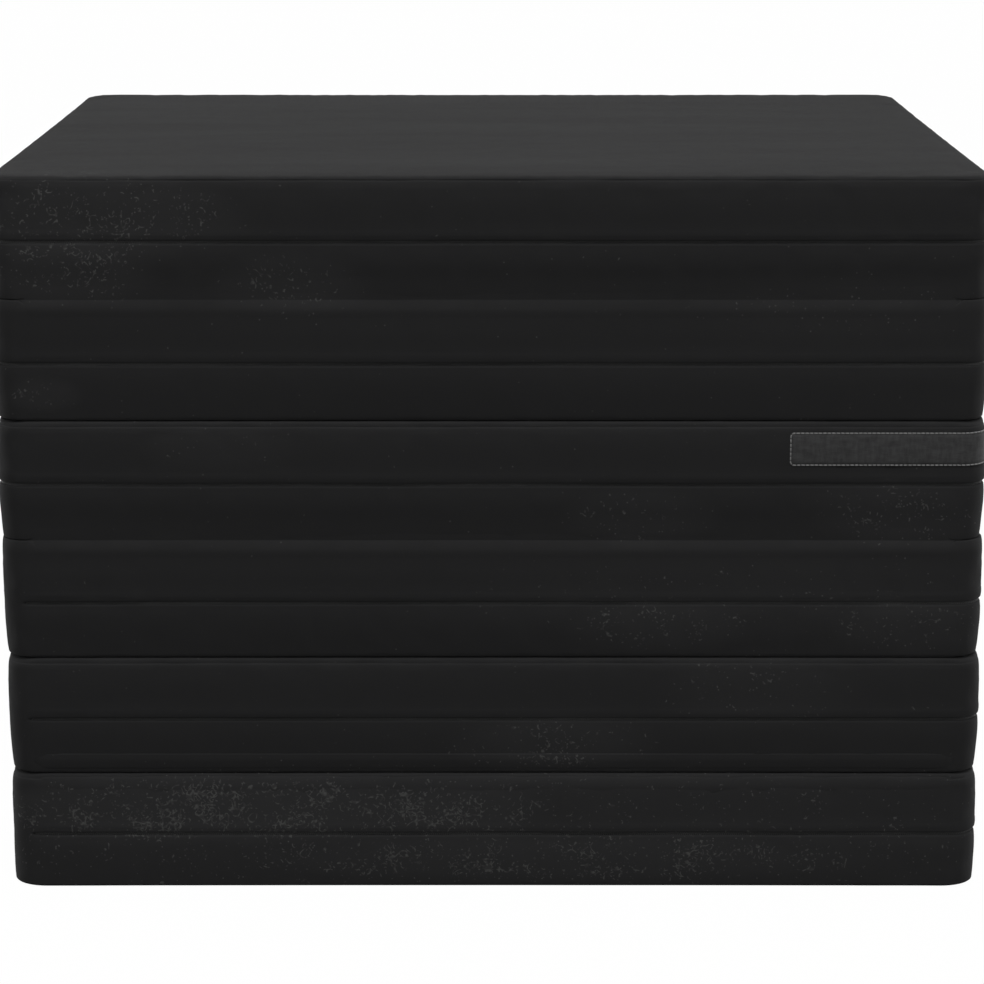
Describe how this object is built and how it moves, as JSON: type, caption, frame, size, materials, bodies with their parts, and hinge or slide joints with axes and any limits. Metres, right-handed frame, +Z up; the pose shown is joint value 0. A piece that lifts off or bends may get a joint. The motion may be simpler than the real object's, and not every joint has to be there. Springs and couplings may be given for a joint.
{
  "type": "folding sofa bed",
  "caption": "Folding foam sofa bed in black zipped cloth covers, closed to a block: stacked panels joined by cloth hinge strips that open flat into a bed.",
  "frame": {"origin": "on the floor, under the middle of the closed stack", "axes": "+Z up, the front with the zips and the patch at -Y, +X to the right seen from the front"},
  "size_m": [0.8065, 0.6507, 0.5936],
  "materials": {
    "foam": "open-cell foam",
    "cover_cloth": "matt woven cloth",
    "zip_tape": "woven tape with coil",
    "zip_slider": "black enamel",
    "hinge_cloth": "matt woven cloth",
    "patch_cloth": "ribbed cloth"
  },
  "bodies": {
    "panel_1": {"foam_core_1": "foam", "cover_top_1": "cover_cloth", "cover_base_1": "cover_cloth", "zip_1": "zip_tape", "hinge_strip_1_2_upper": "hinge_cloth"},
    "slider_1": {"zip_slider_1": "zip_slider"},
    "panel_2": {"foam_core_2": "foam", "cover_top_2": "cover_cloth", "cover_base_2": "cover_cloth", "zip_2": "zip_tape", "hinge_strip_1_2_lower": "hinge_cloth", "hinge_strip_2_3_upper": "hinge_cloth"},
    "slider_2": {"zip_slider_2": "zip_slider"},
    "panel_3": {"foam_core_3": "foam", "cover_top_3": "cover_cloth", "cover_base_3": "cover_cloth", "zip_3": "zip_tape", "hinge_strip_2_3_lower": "hinge_cloth", "hinge_strip_3_4_upper": "hinge_cloth", "patch": "patch_cloth"},
    "slider_3": {"zip_slider_3": "zip_slider"},
    "panel_4": {"foam_core_4": "foam", "cover_top_4": "cover_cloth", "cover_base_4": "cover_cloth", "zip_4": "zip_tape", "hinge_strip_3_4_lower": "hinge_cloth", "hinge_strip_4_5_upper": "hinge_cloth"},
    "slider_4": {"zip_slider_4": "zip_slider"},
    "panel_5": {"foam_core_5": "foam", "cover_top_5": "cover_cloth", "cover_base_5": "cover_cloth", "zip_5": "zip_tape", "hinge_strip_4_5_lower": "hinge_cloth", "hinge_strip_5_6_upper": "hinge_cloth"},
    "slider_5": {"zip_slider_5": "zip_slider"},
    "panel_6": {"foam_core_6": "foam", "cover_top_6": "cover_cloth", "cover_base_6": "cover_cloth", "zip_6": "zip_tape", "hinge_strip_5_6_lower": "hinge_cloth"},
    "slider_6": {"zip_slider_6": "zip_slider"}
  },
  "joints": [
    {"name": "fold_5_6", "type": "hinge", "parent": "panel_6", "child": "panel_5", "pos_m": [0, -0.327, 0.0988], "axis": [1, 0, 0], "range_deg": [0, 180]},
    {"name": "fold_4_5", "type": "hinge", "parent": "panel_5", "child": "panel_4", "pos_m": [0, 0.327, 0.1978], "axis": [-1, 0, 0], "range_deg": [0, 180]},
    {"name": "fold_3_4", "type": "hinge", "parent": "panel_4", "child": "panel_3", "pos_m": [0, -0.327, 0.2968], "axis": [1, 0, 0], "range_deg": [0, 180]},
    {"name": "fold_2_3", "type": "hinge", "parent": "panel_3", "child": "panel_2", "pos_m": [0, 0.327, 0.3958], "axis": [-1, 0, 0], "range_deg": [0, 180]},
    {"name": "fold_1_2", "type": "hinge", "parent": "panel_2", "child": "panel_1", "pos_m": [0, -0.327, 0.4948], "axis": [1, 0, 0], "range_deg": [0, 180]},
    {"name": "zip_slide_1", "type": "slide", "parent": "panel_1", "child": "slider_1", "axis": [0, -1, 0], "range_m": [0, 0.55]},
    {"name": "zip_slide_2", "type": "slide", "parent": "panel_2", "child": "slider_2", "axis": [0, -1, 0], "range_m": [0, 0.55]},
    {"name": "zip_slide_3", "type": "slide", "parent": "panel_3", "child": "slider_3", "axis": [0, -1, 0], "range_m": [0, 0.55]},
    {"name": "zip_slide_4", "type": "slide", "parent": "panel_4", "child": "slider_4", "axis": [0, -1, 0], "range_m": [0, 0.55]},
    {"name": "zip_slide_5", "type": "slide", "parent": "panel_5", "child": "slider_5", "axis": [0, -1, 0], "range_m": [0, 0.55]},
    {"name": "zip_slide_6", "type": "slide", "parent": "panel_6", "child": "slider_6", "axis": [0, -1, 0], "range_m": [0, 0.55]}
  ]
}
